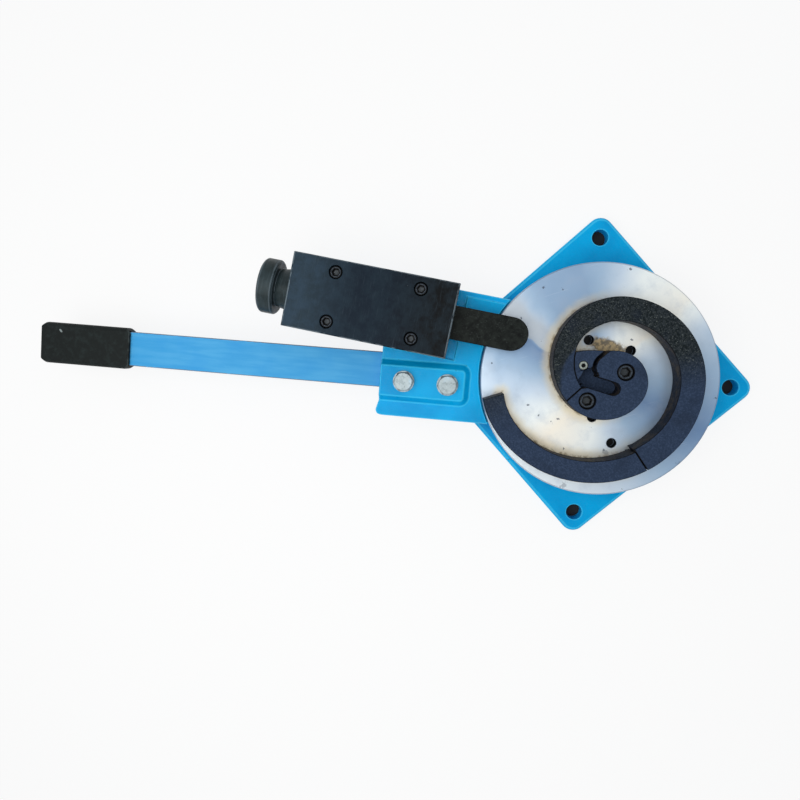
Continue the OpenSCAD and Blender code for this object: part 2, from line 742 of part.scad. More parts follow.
module follower() color(black_steel) at_slide() difference() {
  union() {
    translate([nose_reach + nose_r, 0, follower_z]) cylinder(r = nose_r, h = follower_h);
    translate([nose_reach + nose_r, -nose_r, follower_z])
      cube([tail_x - nose_reach - nose_r, follower_w, follower_h]);
    along_x(tail_x - eps, slide_z) cylinder(r = tail_spigot_r, h = tail_spigot_len + eps);
  }
  translate([
    stop_pin_x - stop_pin_d / 2 - follower_travel - stop_slot_spare,
    -stop_pin_d / 2 - loose,
    follower_z - over
  ]) cube([
    follower_travel + stop_pin_d + follower_lead + 2 * stop_slot_spare,
    stop_pin_d + 2 * loose,
    stop_slot_h + over
  ]);
}

// One ring of the spring's wire, square to the helix
function spring_ring(i) =
  let (a = 360 * i / spring_rings,
       out = [0, cos(a), sin(a)],
       along = [cos(spring_lean), sin(a) * sin(spring_lean), -cos(a) * sin(spring_lean)])
  [for (b = [0 : 360 / spring_sides : 359])
    [spring_pitch * i / spring_rings, 0, 0] + spring_r * out
    + spring_wire / 2 * (cos(b) * out + sin(b) * along)];

module follower_spring() color(bright_steel) at_slide() {
  n = spring_turns * spring_rings;
  m = spring_sides;
  rings = [for (i = [0 : n]) spring_ring(i)];
  points = [for (ring = rings) each ring];
  // Least gap between neighbouring turns, measured from ring to ring
  gaps = [for (i = [spring_rings : n], p = rings[i - spring_rings], q = rings[i]) norm(p - q)];
  echo(spring_gap = min(gaps));
  faces = concat(
    [[for (j = [0 : m - 1]) j]],
    [for (i = [0 : n - 1], j = [0 : m - 1]) each [
      [i * m + j, (i + 1) * m + j, i * m + (j + 1) % m],
      [i * m + (j + 1) % m, (i + 1) * m + j, (i + 1) * m + (j + 1) % m]]],
    [[for (j = [m - 1 : -1 : 0]) n * m + j]]
  );
  translate([spring_x, 0, slide_z]) polyhedron(points, faces);
}

module spring_seat_nut() color(bright_steel) at_slide() difference() {
  translate([seat_x, loose - follower_w / 2, follower_z + loose])
    cube([seat_t, follower_w - 2 * loose, follower_h - 2 * loose]);
  along_x(seat_x - over, slide_z) cylinder(r = spindle_d / 2 + running, h = seat_t + 2 * over);
}

module adjuster_spindle() color(bright_steel) at_slide() {
  along_x(spindle_x, slide_z) cylinder(d = spindle_d, h = knob_end - knob_cap - spindle_x);
  along_x(collar_x, slide_z) cylinder(d = collar_d, h = collar_t);
}

module adjuster_knob() color(black_steel) at_slide() difference() {
  union() {
    along_x(knob_x, slide_z)
      cylinder(r1 = knob_neck_d / 2, r2 = knob_neck_d / 2 - knob_taper, h = knob_neck_len);
    along_x(knob_rim_x, slide_z) chamfered_disc(knob_d / 2, knob_rim_len, knob_chamfer);
  }
  along_x(knob_x - over, slide_z) cylinder(d = spindle_d, h = knob_end - knob_cap - knob_x + over);
  translate([set_screw_x, 0, slide_z - knob_neck_d]) cylinder(d = set_screw_d, h = knob_neck_d);
}

module knob_set_screw() color(black_steel) at_slide()
  translate([set_screw_x, 0, slide_z - spindle_d / 2]) mirror([0, 0, 1])
    set_screw(set_screw_d, knob_neck_d / 2 - knob_taper - spindle_d / 2);

base_plate();
pivot_post();
post_screws();
lower_thrust_washer();
face_plate();
face_plate_screws();
centre_former();
centre_former_screws();
jaw_insert();
jaw_screw();
middle_former();
middle_former_dowels();
outer_former();
outer_former_dowels();
swing_arm();
pivot_bush();
upper_thrust_washer();
guide_block();
guide_block_screws();
follower_stop_pin();
handle_bar();
handle_clamp_bolts();
handle_grip();
follower();
follower_spring();
spring_seat_nut();
adjuster_spindle();
adjuster_knob();
knob_set_screw();
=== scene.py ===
"""The looks of a hand-operated scroll bender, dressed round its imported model.

The machine is shown as it is put together: the square base casting, the pivot inside it, the
ground face plate, the three formers that wind the scroll, the swing arm with its handle, and the
sprung follower in its guide block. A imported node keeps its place. Where the real edge is broken or
rounded, a copy of the node with round edges stands for it: the copy's triangles are merged, flat
stretches are joined into one face, and each edge between faces that meet at more than 30 degrees
is replaced by a strip that follows a quarter circle of the given radius.
"""

import math

import bmesh
import bpy
import numpy as np
from mathutils import Matrix, Vector
from mathutils.bvhtree import BVHTree


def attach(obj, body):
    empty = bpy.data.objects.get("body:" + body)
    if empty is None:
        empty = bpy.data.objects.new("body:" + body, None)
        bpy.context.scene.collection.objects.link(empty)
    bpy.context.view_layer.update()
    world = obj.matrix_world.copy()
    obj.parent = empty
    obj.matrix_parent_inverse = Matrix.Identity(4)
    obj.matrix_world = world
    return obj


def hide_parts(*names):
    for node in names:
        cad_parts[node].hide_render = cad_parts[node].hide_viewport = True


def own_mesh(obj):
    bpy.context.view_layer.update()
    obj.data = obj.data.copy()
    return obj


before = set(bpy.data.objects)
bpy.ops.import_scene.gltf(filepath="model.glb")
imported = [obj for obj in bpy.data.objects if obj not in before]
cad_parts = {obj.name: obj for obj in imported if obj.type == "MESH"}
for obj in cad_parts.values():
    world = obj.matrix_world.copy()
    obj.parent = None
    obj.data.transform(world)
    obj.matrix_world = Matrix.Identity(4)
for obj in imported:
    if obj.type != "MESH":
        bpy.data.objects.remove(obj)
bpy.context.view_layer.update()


# ---- Camera ----
# The view is from 0.7 m above the bench, over the handle's side of the pivot, and turned so that
# the handle points to the left. The lens is as long as the picture's perspective asks for.
IMAGE_PX = 800
FOCAL_PX = 601.7
CENTRE_PX = (386.2, 390.8)
CAMERA_AT = (-0.1314, -0.0980, 0.6996)
CAMERA_TURN, CAMERA_TILT_Y, CAMERA_TILT_X = 48.95, 5.29, -4.27

camera_data = bpy.data.cameras.new("camera")
camera_data.sensor_width = 36
camera_data.lens = FOCAL_PX / IMAGE_PX * camera_data.sensor_width
camera_data.shift_x = 0.5 - CENTRE_PX[0] / IMAGE_PX
camera_data.shift_y = CENTRE_PX[1] / IMAGE_PX - 0.5
camera = bpy.data.objects.new("camera", camera_data)
camera.matrix_world = (
    Matrix.Translation(CAMERA_AT)
    @ Matrix.Rotation(math.radians(CAMERA_TURN), 4, "Z")
    @ Matrix.Rotation(math.radians(CAMERA_TILT_Y), 4, "Y")
    @ Matrix.Rotation(math.radians(CAMERA_TILT_X), 4, "X")
)
bpy.context.scene.collection.objects.link(camera)
bpy.context.scene.camera = camera


# ---- Bench and light ----
# The bender stands on a plain white sheet. A thin black sheet just inside the base's edges is
# painted shade under the base and in its bolt holes. A broad soft lamp stands high over the
# handle's side, a weak one on the far side, and the room round them is pale.
FLOOR_HALF = 25.0
SHADE_SHEET_THICK = 0.0015
SHADE_SHEET_HALF = 0.1245
PAPER = (0.9, 0.9, 0.9, 1)
PAPER_SHOWN_WHITE = 0.84
KEY = {
    "azimuth": 238, "elevation": 64, "distance": 1.0, "size": 0.8, "power": 5.2,
    "colour": (1, 0.985, 0.96),
}
FILL = {
    "azimuth": 100, "elevation": 48, "distance": 1.8, "size": 1.2, "power": 2.4,
    "colour": (0.93, 0.97, 1),
}
ROOM_COLOUR = (0.93, 0.97, 1.0, 1)
ROOM_STRENGTH = 0.5


def add(tree, kind, inputs=None, **settings):
    """A shader node of a kind. An input is a value, or a socket that is joined to it."""
    node = tree.nodes.new("ShaderNode" + kind)
    for name, value in settings.items():
        setattr(node, name, value)
    for name, value in (inputs or {}).items():
        if isinstance(value, bpy.types.NodeSocket):
            tree.links.new(value, node.inputs[name])
        else:
            node.inputs[name].default_value = value
    return node


def srgb(red, green, blue):
    """A colour as it shows on a screen, 0 to 255, as linear light with full alpha."""
    shares = [c / 255 for c in (red, green, blue)]
    linear = [c / 12.92 if c < 0.04045 else ((c + 0.055) / 1.055) ** 2.4 for c in shares]
    return (*linear, 1.0)


def material(name, sockets):
    """A material with some of its Principled shader's sockets set; returns it, its tree and the
    shader."""
    made = bpy.data.materials.new(name)
    made.use_nodes = True
    shader = made.node_tree.nodes["Principled BSDF"]
    for socket, value in sockets.items():
        shader.inputs[socket].default_value = value
    return made, made.node_tree, shader


def math_of(tree, operation, *values):
    """The result of a math node, named by its operation, for one, two or three values."""
    return add(tree, "Math", dict(enumerate(values)), operation=operation).outputs[0]


def times(tree, a, b):
    """One value multiplied by another."""
    return math_of(tree, "MULTIPLY", a, b)


def shown_rays(tree):
    """1 for the rays by which the background is seen: straight, in a gloss, or through glass."""
    seen = add(tree, "LightPath").outputs
    glossy = math_of(tree, "MAXIMUM", seen["Is Camera Ray"], seen["Is Glossy Ray"])
    return math_of(tree, "MAXIMUM", glossy, seen["Is Transmission Ray"])


def lamp(name, azimuth, elevation, distance, size, power, colour):
    """A square area lamp that looks at the face plate. Azimuth is counted from +X."""
    data = bpy.data.lights.new(name, "AREA")
    data.size = size
    data.energy = power
    data.color = colour
    a, e = math.radians(azimuth), math.radians(elevation)
    away = Vector((math.cos(a) * math.cos(e), math.sin(a) * math.cos(e), math.sin(e)))
    light = bpy.data.objects.new(name, data)
    aim = away.to_track_quat("Z", "Y").to_matrix().to_4x4()
    light.matrix_world = Matrix.Translation(away * distance) @ aim
    bpy.context.scene.collection.objects.link(light)


def flat_sheet(name, half, height, finish):
    """A square level sheet about the pivot, which is part of the stage and not of the object."""
    mesh = bpy.data.meshes.new(name)
    corners = [(x * half, y * half, height) for x, y in ((-1, -1), (1, -1), (1, 1), (-1, 1))]
    mesh.from_pydata(corners, [], [(0, 1, 2, 3)])
    mesh.materials.append(finish)
    sheet = bpy.data.objects.new(name, mesh)
    bpy.context.scene.collection.objects.link(sheet)


lamp("key_lamp", **KEY)
lamp("fill_lamp", **FILL)

world = bpy.data.worlds.new("studio")
world.use_nodes = True
tree = world.node_tree
room = tree.nodes["Background"]
room.inputs["Color"].default_value = ROOM_COLOUR
room.inputs["Strength"].default_value = ROOM_STRENGTH
white = add(tree, "Background", {"Color": (1, 1, 1, 1), "Strength": 1.0})
both = add(tree, "MixShader", {0: shown_rays(tree), 1: room.outputs[0], 2: white.outputs[0]})
tree.links.new(both.outputs[0], tree.nodes["World Output"].inputs["Surface"])
bpy.context.scene.world = world
bpy.context.scene.view_settings.view_transform = "Standard"

white_paper, tree, paper = material("white_paper", {"Base Color": PAPER, "Roughness": 0.9})
glow = add(tree, "Emission", {"Color": (1, 1, 1, 1), "Strength": 1.0})
share = times(tree, shown_rays(tree), PAPER_SHOWN_WHITE)
both = add(tree, "MixShader", {0: share, 1: paper.outputs[0], 2: glow.outputs[0]})
tree.links.new(both.outputs[0], tree.nodes["Material Output"].inputs["Surface"])
flat_sheet("white_sheet", FLOOR_HALF, -SHADE_SHEET_THICK, white_paper)
# Painted shade: a black sheet under the base, seen through its bolt holes and under its edges.
black_shade_sheet = material("black_shade_sheet", {"Base Color": srgb(20, 20, 22), "Roughness": 0.8})[0]
flat_sheet("shade_sheet", SHADE_SHEET_HALF, -SHADE_SHEET_THICK / 10, black_shade_sheet)


# ---- Base casting ----
# A square iron casting with rounded corners and a bolt hole in each. It is sand cast, machined on
# its seats, and painted with glossy blue enamel that has chipped off in a few places.
BASE_EDGE = 0.0012
ENAMEL = srgb(0, 172, 233)
ENAMEL_DEEP = srgb(0, 152, 215)
# Lighter edge tone: partly paint worn thin, partly a painted highlight along the ridges.
ENAMEL_THIN_AND_HIGHLIT = srgb(70, 204, 246)
ENAMEL_DUST = srgb(70, 190, 236)
CHIP = srgb(30, 44, 54)
MERGE = 2e-6
FLAT_LIMIT = math.radians(0.3)
SHARP_LIMIT = math.radians(30)


def merged(node, flatten=True):
    """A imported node's triangles with their corners joined, and each flat stretch as one face."""
    model = bmesh.new()
    model.from_mesh(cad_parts[node].data)
    bmesh.ops.remove_doubles(model, verts=model.verts, dist=MERGE)
    if flatten:
        bmesh.ops.dissolve_limit(
            model, angle_limit=FLAT_LIMIT, verts=model.verts, edges=model.edges
        )
    return model


def round_edges(model, radius, short=0.0):
    """Each sharp edge becomes a strip of two faces on a quarter circle, marked in the face
    attribute rounded_edge. Edges under the length short are joined first, and a corner thrown off
    the surface by more than the radius is laid back on it."""
    surface = BVHTree.FromBMesh(model)
    if short:
        bmesh.ops.dissolve_degenerate(model, dist=short, edges=model.edges)
    mark = model.faces.layers.float.new("rounded_edge")
    sharp = [e for e in model.edges if e.is_manifold and e.calc_face_angle(0) > SHARP_LIMIT]
    strips = bmesh.ops.bevel(
        model, geom=sharp, offset=radius, offset_type="OFFSET", segments=2, profile=0.5,
        affect="EDGES", clamp_overlap=False, loop_slide=True,
    )["faces"]
    for face in strips:
        face[mark] = 1.0
    for corner in model.verts:
        place, _, _, away = surface.find_nearest(corner.co)
        if away > radius:
            corner.co = place


def as_piece(model, name, *nodes):
    """The model as a smooth-shaded piece in the scene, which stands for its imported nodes."""
    for face in model.faces:
        face.smooth = True
    for edge in model.edges:
        edge.smooth = edge.calc_face_angle(0) < SHARP_LIMIT
    mesh = bpy.data.meshes.new(name)
    model.to_mesh(mesh)
    model.free()
    piece = bpy.data.objects.new(name, mesh)
    bpy.context.scene.collection.objects.link(piece)
    piece.modifiers.new("even_normals", "WEIGHTED_NORMAL").keep_sharp = True
    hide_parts(*nodes)
    return piece


def rounded_copy(node, name, radius, short=0.0, flatten=True):
    """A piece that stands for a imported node, with round edges."""
    model = merged(node, flatten)
    round_edges(model, radius, short)
    return as_piece(model, name, node)


def feed(tree, shader, **sockets):
    """Joins sockets to the shader's inputs, such as Base_Color for Base Color."""
    for name, socket in sockets.items():
        tree.links.new(socket, shader.inputs[name.replace("_", " ")])


def where(tree, scale=(1, 1, 1), turn=0.0):
    """Object coordinates, turned about Z by an angle in degrees, then stretched by a scale."""
    place = add(tree, "TexCoord").outputs["Object"]
    turned = add(tree, "Mapping", {"Vector": place, "Rotation": (0, 0, math.radians(turn))})
    return add(tree, "Mapping", {"Vector": turned.outputs[0], "Scale": scale}).outputs[0]


def mesh_value(tree, name):
    """What a mesh's own attribute of that name holds."""
    return add(tree, "Attribute", attribute_name=name).outputs["Fac"]


def noise(tree, place, scale, detail=4.0, rough=0.5):
    """Cloudy noise from 0 to 1, whose patches are about 1 / scale metres wide."""
    given = {"Vector": place, "Scale": scale, "Detail": detail, "Roughness": rough}
    return add(tree, "TexNoise", given).outputs[0]


def step(tree, value, low, high, to_low=0.0, to_high=1.0):
    """A soft step from to_low to to_high, as value goes from low to high."""
    return add(
        tree, "MapRange",
        {"Value": value, "From Min": low, "From Max": high, "To Min": to_low, "To Max": to_high},
        interpolation_type="SMOOTHSTEP",
    ).outputs[0]


def mixed(tree, share, a, b):
    """Colour a, going to colour b as share goes from 0 to 1."""
    return add(tree, "Mix", {0: share, 6: a, 7: b}, data_type="RGBA").outputs[2]


def bumped(tree, height, distance, strength=1.0, under=None):
    """A normal bent by a height of 0 to 1 that stands for a distance in metres."""
    given = {"Height": height, "Distance": distance, "Strength": strength}
    if under is not None:
        given["Normal"] = under
    return add(tree, "Bump", given).outputs[0]


def group(name, inputs, outputs):
    """A shader node group with named float inputs and outputs; returns it with its end nodes."""
    made = bpy.data.node_groups.new(name, "ShaderNodeTree")
    for label, value in inputs.items():
        socket = made.interface.new_socket(label, in_out="INPUT", socket_type="NodeSocketFloat")
        socket.default_value = value
    for label in outputs:
        made.interface.new_socket(label, in_out="OUTPUT", socket_type="NodeSocketFloat")
    return made, made.nodes.new("NodeGroupInput").outputs, made.nodes.new("NodeGroupOutput").inputs


def use(tree, made, **values):
    """A group placed in a material with its own values; returns its outputs."""
    node = tree.nodes.new("ShaderNodeGroup")
    node.node_tree = made
    for name, value in values.items():
        node.inputs[name].default_value = value
    return node.outputs


# Edge wear and light: the strips of the rounded edges, where a noise of that Scale is within that
# Share; it masks wear, and also painted highlights and painted shade along edges
edge_wear_and_light, given, gives = group("edge_wear_and_light", {"Scale": 90.0, "Share": 0.5}, ["Mask"])
strip = mesh_value(edge_wear_and_light, "rounded_edge")
patch = noise(edge_wear_and_light, where(edge_wear_and_light), given["Scale"], 5, 0.65)
bare = step(edge_wear_and_light, math_of(edge_wear_and_light, "ADD", patch, given["Share"]), 0.94, 1.06)
edge_wear_and_light.links.new(times(edge_wear_and_light, strip, bare), gives["Mask"])

# Specks: ragged dots of a Size, one in a Share of the cells, such as dirt, pits or chips
specks, given, gives = group("specks", {"Scale": 120.0, "Size": 0.1, "Share": 0.2}, ["Mask"])
cells = add(specks, "TexVoronoi", {"Vector": where(specks), "Scale": given["Scale"]})
ragged = noise(specks, where(specks), math_of(specks, "MULTIPLY", given["Scale"], 9.0), 4, 0.7)
away = times(specks, cells.outputs["Distance"], math_of(specks, "MULTIPLY_ADD", ragged, 3.4, -0.7))
dot = math_of(specks, "LESS_THAN", away, given["Size"])
pick = add(specks, "SeparateColor", {0: cells.outputs["Color"]}).outputs[0]
some = math_of(specks, "LESS_THAN", pick, given["Share"])
specks.links.new(times(specks, dot, some), gives["Mask"])

# Casting grain: the round grains of a sand mould over a slow swell, as a height
casting_grain, given, gives = group("casting_grain", {"Scale": 500.0, "Swell": 40.0}, ["Height"])
place = where(casting_grain)
sand = {"Vector": place, "Scale": given["Scale"]}
grains = add(casting_grain, "TexVoronoi", sand, feature="SMOOTH_F1")
swell = noise(casting_grain, place, given["Swell"], 3)
relief = math_of(casting_grain, "ADD", grains.outputs["Distance"], swell)
casting_grain.links.new(relief, gives["Height"])

blue_enamel, tree, shader = material(
    "blue_enamel", {"Specular IOR Level": 0.06, "Coat Weight": 0.07, "Coat Roughness": 0.1}
)
place = where(tree)
tone = mixed(tree, step(tree, noise(tree, place, 16, 4), 0.35, 0.65), ENAMEL_DEEP, ENAMEL)
# Lighter strips on the rounded edges: partly paint worn thin, partly a painted highlight.
thin_and_highlit = use(tree, edge_wear_and_light, Scale=50.0, Share=0.75)["Mask"]
tone = mixed(tree, times(tree, thin_and_highlit, 0.55), tone, ENAMEL_THIN_AND_HIGHLIT)
dust = step(tree, noise(tree, place, 420, 2), 0.66, 0.8)
tone = mixed(tree, times(tree, dust, 0.12), tone, ENAMEL_DUST)
chips = use(tree, specks, Scale=34.0, Size=0.05, Share=0.16)["Mask"]
edge_chips = use(tree, edge_wear_and_light, Scale=160.0, Share=0.3)["Mask"]
tone = mixed(tree, math_of(tree, "MAXIMUM", chips, edge_chips), tone, CHIP)
rough = step(tree, noise(tree, place, 90, 4), 0.3, 0.8, 0.24, 0.4)
peel = use(tree, casting_grain, Scale=300.0, Swell=110.0)["Height"]
feed(tree, shader, Base_Color=tone, Roughness=rough, Normal=bumped(tree, peel, 0.0004, 0.5))


def dress(piece, body, finish):
    """Gives a piece its finish and its slot, and lets it ride on its body."""
    piece.data.materials.clear()
    piece.data.materials.append(finish)
    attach(piece, body)


dress(rounded_copy("base_plate", "base_casting", BASE_EDGE), "base", blue_enamel)


# ---- Pivot ----
# The pivot post is turned from steel bar and bolted down from under the base. The arm turns round
# it on a bronze bush, between two bronze thrust washers.
STEEL = srgb(176, 178, 182)
STEEL_DARK = srgb(128, 132, 138)
BRONZE = srgb(186, 142, 82)
BRONZE_DARK = srgb(128, 92, 50)
AXLE_TURN = 217.4
SOCKET_ROOM = 0.0012
SCREW_EDGE = 0.001
POST_SCREW_TOP = 0.03
# Painted shade in the sockets and on the rounded edges, and a painted glint on the socket floor.
SOCKET_SHADE_BLACK = srgb(8, 10, 12)
SOCKET_FLOOR_GLINT = srgb(90, 98, 104)
HEAD_GREY, HEAD_RUBBED = srgb(34, 42, 52), srgb(60, 70, 80)
EDGE_SHADE_BLACK = srgb(8, 9, 11)


def turned_metal(name, light, dark, turn=0.0, stretch=(60, 60, 2600), rough=0.32):
    """Lathe lines: a noise drawn out round the turned axis, darker and deeper in the grooves."""
    made, tree, shader = material(name, {"Metallic": 0.9})
    lines = noise(tree, where(tree, stretch, turn), 1.0, 3, 0.7)
    tone = mixed(tree, step(tree, lines, 0.35, 0.7), dark, light)
    stain = step(tree, noise(tree, where(tree), 55, 5, 0.6), 0.55, 0.75)
    tone = mixed(tree, times(tree, stain, 0.35), tone, dark)
    feed(tree, shader, Base_Color=tone, Roughness=step(tree, lines, 0.2, 0.8, rough + 0.1, rough),
         Normal=bumped(tree, lines, 0.00004, 0.6))
    return made


def keep(finish, *nodes):
    """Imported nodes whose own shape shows, with their finish."""
    for node in nodes:
        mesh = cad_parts[node].data
        mesh.materials.clear()
        mesh.materials.append(finish)


def part_of(tree, vector, axis):
    """One of a vector's three values: 0 for X, 1 for Y and 2 for Z."""
    return add(tree, "SeparateXYZ", {0: vector}).outputs[axis]


def facing_up(tree):
    """How far a surface faces up: 1 on a top, 0 on a wall and -1 on an underside."""
    return part_of(tree, add(tree, "TexCoord").outputs["Normal"], 2)


def black_oxide(name, head_top):
    """Black oxide over steel: a rubbed grey ring on top of the head. Everything below the ring, the
    socket with it, is painted near black as painted shade, the socket's floor gets a paler painted
    glint, and the rounded edges are painted black as painted shade.
    """
    made, tree, shader = material(name, {"Metallic": 0.35, "Specular IOR Level": 0.2})
    height = part_of(tree, where(tree), 2)
    ring_low = head_top - SOCKET_ROOM
    up = step(tree, facing_up(tree), 0.9, 0.97)
    top = times(tree, up, step(tree, height, ring_low, head_top - SOCKET_ROOM / 2))
    socket_floor_glint = times(tree, up, step(tree, height, ring_low, head_top - 2 * SOCKET_ROOM))
    rubbed = step(tree, noise(tree, where(tree), 700, 4), 0.3, 0.7)
    tone = mixed(tree, top, SOCKET_SHADE_BLACK, mixed(tree, rubbed, HEAD_GREY, HEAD_RUBBED))
    tone = mixed(tree, times(tree, socket_floor_glint, 0.3), tone, SOCKET_FLOOR_GLINT)
    tone = mixed(tree, times(tree, mesh_value(tree, "rounded_edge"), 0.9), tone, EDGE_SHADE_BLACK)
    feed(tree, shader, Base_Color=tone, Roughness=step(tree, rubbed, 0, 1, 0.34, 0.5),
         Normal=bumped(tree, rubbed, 0.00003, 0.5))
    return made


def screws(node, name, body, finish_name, head_top):
    """Socket screws with round edges, in black oxide, whose heads end at a height."""
    piece = rounded_copy(node, name, SCREW_EDGE, flatten=False)
    dress(piece, body, black_oxide(finish_name, head_top))


turned_steel = turned_metal("turned_steel", STEEL, STEEL_DARK)
bronze = turned_metal("bronze", BRONZE, BRONZE_DARK, rough=0.38)
keep(turned_steel, "pivot_post")
keep(bronze, "pivot_bush", "lower_thrust_washer", "upper_thrust_washer")
screws("post_screws", "post_bolts", "base", "post_screw_black", POST_SCREW_TOP)


# ---- Face plate ----
# A round steel plate that the formers stand on, turned and ground, with a turned rim. It is
# bright, with steely blue and cream sectors painted round the pivot as painted reflections, small
# dents, and a cream band and a brown line at the formers' feet, partly oil and rust stain and
# partly painted light.
PLATE_EDGE = 0.0004
PLATE_TOP = 0.0641
PLATE_HALF = 0.12
STAIN_GRID = 0.004
FOOT_ROOM = 1e-4
PICTURE_TURN = 48.95
# Painted reflection: the steel's tones by share of sheen, and the shares of sheen by angle round the
# pivot, give bright and dark sectors in the colour.
STEEL_SHEEN_TONES = (
    (0.0, srgb(104, 132, 168)), (0.35, srgb(148, 173, 198)), (0.62, srgb(188, 203, 218)),
    (0.86, srgb(224, 230, 230)), (1.0, srgb(233, 228, 216)),
)
SHEEN = (
    (0, 0.33), (22, 0.52), (44, 0.95), (66, 0.85), (98, 0.22), (122, 0.24), (134, 0.5), (148, 0.55),
    (151.5, 0.02), (172, 0.36), (205, 0.8), (232, 1.0), (262, 0.86), (296, 0.42), (332, 0.0),
)
# Painted reflection: a warm grey sector, and a paler band on one side of the rim.
WARM_SHEEN_STARTS, WARM_SHEEN_ENDS = (0.36, 0.385), (0.4195, 0.4165)
RIM_SHEEN_SIDE, RIM_FROM, RIM_TO = 225, 0.102, 0.112
RIM_SHEEN = (0.62, 0.62, 0.62, 1)
# Along the formers' feet, heavier towards one side: a cream band, partly oil stain and partly
# painted glow, and a brown line in the corner, partly rust and partly painted shade.
STAIN_AND_LIGHT_SIDE = 190
CREAM_STAIN_AND_GLOW_REACH, RUST_AND_SHADE_REACH = (0.015, 0.004), (0.0062, 0.0035)
OILY_PATCH = {
    "Location": (-0.0205, 0.0285, PLATE_TOP), "Rotation": (0, 0, math.radians(34)),
    "Scale": (0.0235, 0.008, 1),
}
# Painted shade: the depths below the top over which the plate's hole walls go near black.
HOLE_SHADE_DEPTHS = (PLATE_TOP - 0.0004, PLATE_TOP - 0.0012)
HOLES_WITHIN = (0.117, 0.114)
PLATE_SCREW_TOP = 0.0631


def foot_edges(node):
    """The sharp edges of a former's foot, as segments of an array (number, end, X and Y)."""
    model = merged(node)
    found = [
        [v.co[:2] for v in e.verts] for e in model.edges
        if e.is_manifold and e.calc_face_angle(0) > SHARP_LIMIT
        and max(v.co.z for v in e.verts) < PLATE_TOP + FOOT_ROOM
    ]
    model.free()
    return np.array(found)


def gap_to(points, segments):
    """The distance from each point to the nearest segment: the foot of the perpendicular, held to
    the segment's length, is subtracted, and the least length is taken."""
    start, along = segments[:, 0], segments[:, 1] - segments[:, 0]
    out = points[:, None] - start
    share = np.clip((out * along).sum(2) / (along * along).sum(1), 0, 1)
    return np.sqrt(((out - share[..., None] * along) ** 2).sum(2)).min(1)


model = merged("face_plate")
round_edges(model, PLATE_EDGE)
for axis in ((1, 0, 0), (0, 1, 0)):
    for at in np.arange(-PLATE_HALF + STAIN_GRID / 2, PLATE_HALF, STAIN_GRID):
        everything = model.verts[:] + model.edges[:] + model.faces[:]
        cut_at = Vector(axis) * float(at)
        bmesh.ops.bisect_plane(model, geom=everything, plane_co=cut_at, plane_no=axis)
ground_plate = as_piece(model, "ground_plate", "face_plate")
corners = np.empty(len(ground_plate.data.vertices) * 3, np.float32)
ground_plate.data.vertices.foreach_get("co", corners)
feet = np.concatenate([foot_edges(n) for n in ("centre_former", "middle_former", "outer_former")])
gaps = gap_to(corners.reshape(-1, 3)[:, :2], feet)
foot_gap = ground_plate.data.attributes.new("foot_gap", "FLOAT", "POINT")
foot_gap.data.foreach_set("value", gaps.astype(np.float32))


def length_of(tree, vector):
    """The root of the sum of a vector's squared parts."""
    return add(tree, "VectorMath", {0: vector}, operation="LENGTH").outputs["Value"]


# Round the pivot: the share of a turn from the angle Zero, in degrees from +X, and the radius
round_the_pivot, given, gives = group("round_the_pivot", {"Zero": 0.0}, ["Turn", "Radius"])
flat_place = where(round_the_pivot, (1, 1, 0))
east, north = part_of(round_the_pivot, flat_place, 0), part_of(round_the_pivot, flat_place, 1)
angle = math_of(round_the_pivot, "ARCTAN2", north, east)
turns = math_of(round_the_pivot, "DIVIDE", angle, 2 * math.pi)
zero = math_of(round_the_pivot, "DIVIDE", given["Zero"], 360)
past_zero = math_of(round_the_pivot, "SUBTRACT", turns, zero)
round_the_pivot.links.new(math_of(round_the_pivot, "FRACT", past_zero), gives["Turn"])
round_the_pivot.links.new(length_of(round_the_pivot, flat_place), gives["Radius"])


def ramp(tree, value, stops):
    """The colour of a value between stops of (place, colour)."""
    node = add(tree, "ValToRGB", {"Fac": value})
    marks = node.color_ramp.elements
    marks[0].position, marks[0].color = stops[0]
    marks[1].position, marks[1].color = stops[-1]
    for at, colour in stops[1:-1]:
        marks.new(at).color = colour
    return node.outputs[0]


def toward(tree, turn, side):
    """The cosine of the angle between a place, in turns round the pivot, and a side, in degrees."""
    off = math_of(tree, "SUBTRACT", turn, side / 360)
    return math_of(tree, "COSINE", times(tree, off, 2 * math.pi))


def reach_of(tree, patch):
    """How far a place is from a patch's centre, as a share of the patch's half sizes."""
    given = {"Vector": add(tree, "TexCoord").outputs["Object"], **patch}
    return length_of(tree, add(tree, "Mapping", given, vector_type="TEXTURE").outputs[0])


ground_steel, tree, shader = material("ground_steel", {"Metallic": 0.5, "Specular IOR Level": 0.2})
place = where(tree)
# Painted reflection: sheen sectors by angle round the pivot, a warm sector, and a paler band on one
# side of the rim.
about = use(tree, round_the_pivot, Zero=PICTURE_TURN)
drift = math_of(tree, "MULTIPLY_ADD", noise(tree, place, 22, 3), 0.05, about["Turn"])
drift = math_of(tree, "FRACT", math_of(tree, "SUBTRACT", drift, 0.025))
stops = [(angle / 360, (sheen, sheen, sheen, 1)) for angle, sheen in SHEEN]
sheen = ramp(tree, drift, [*stops, (1.0, stops[0][1])])
sheened_rim = step(tree, about["Radius"], RIM_FROM, RIM_TO)
rim_sheen_side = step(tree, toward(tree, about["Turn"], RIM_SHEEN_SIDE), 0.2, 0.8)
sheened_rim = times(tree, sheened_rim, rim_sheen_side)
tone = mixed(tree, times(tree, sheened_rim, 0.6), sheen, RIM_SHEEN)
tone = ramp(tree, tone, STEEL_SHEEN_TONES)
warm_sheen = times(tree, step(tree, drift, *WARM_SHEEN_STARTS), step(tree, drift, *WARM_SHEEN_ENDS))
tone = mixed(tree, times(tree, warm_sheen, 0.75), tone, srgb(176, 182, 188))
clouds = noise(tree, place, 60, 5, 0.6)
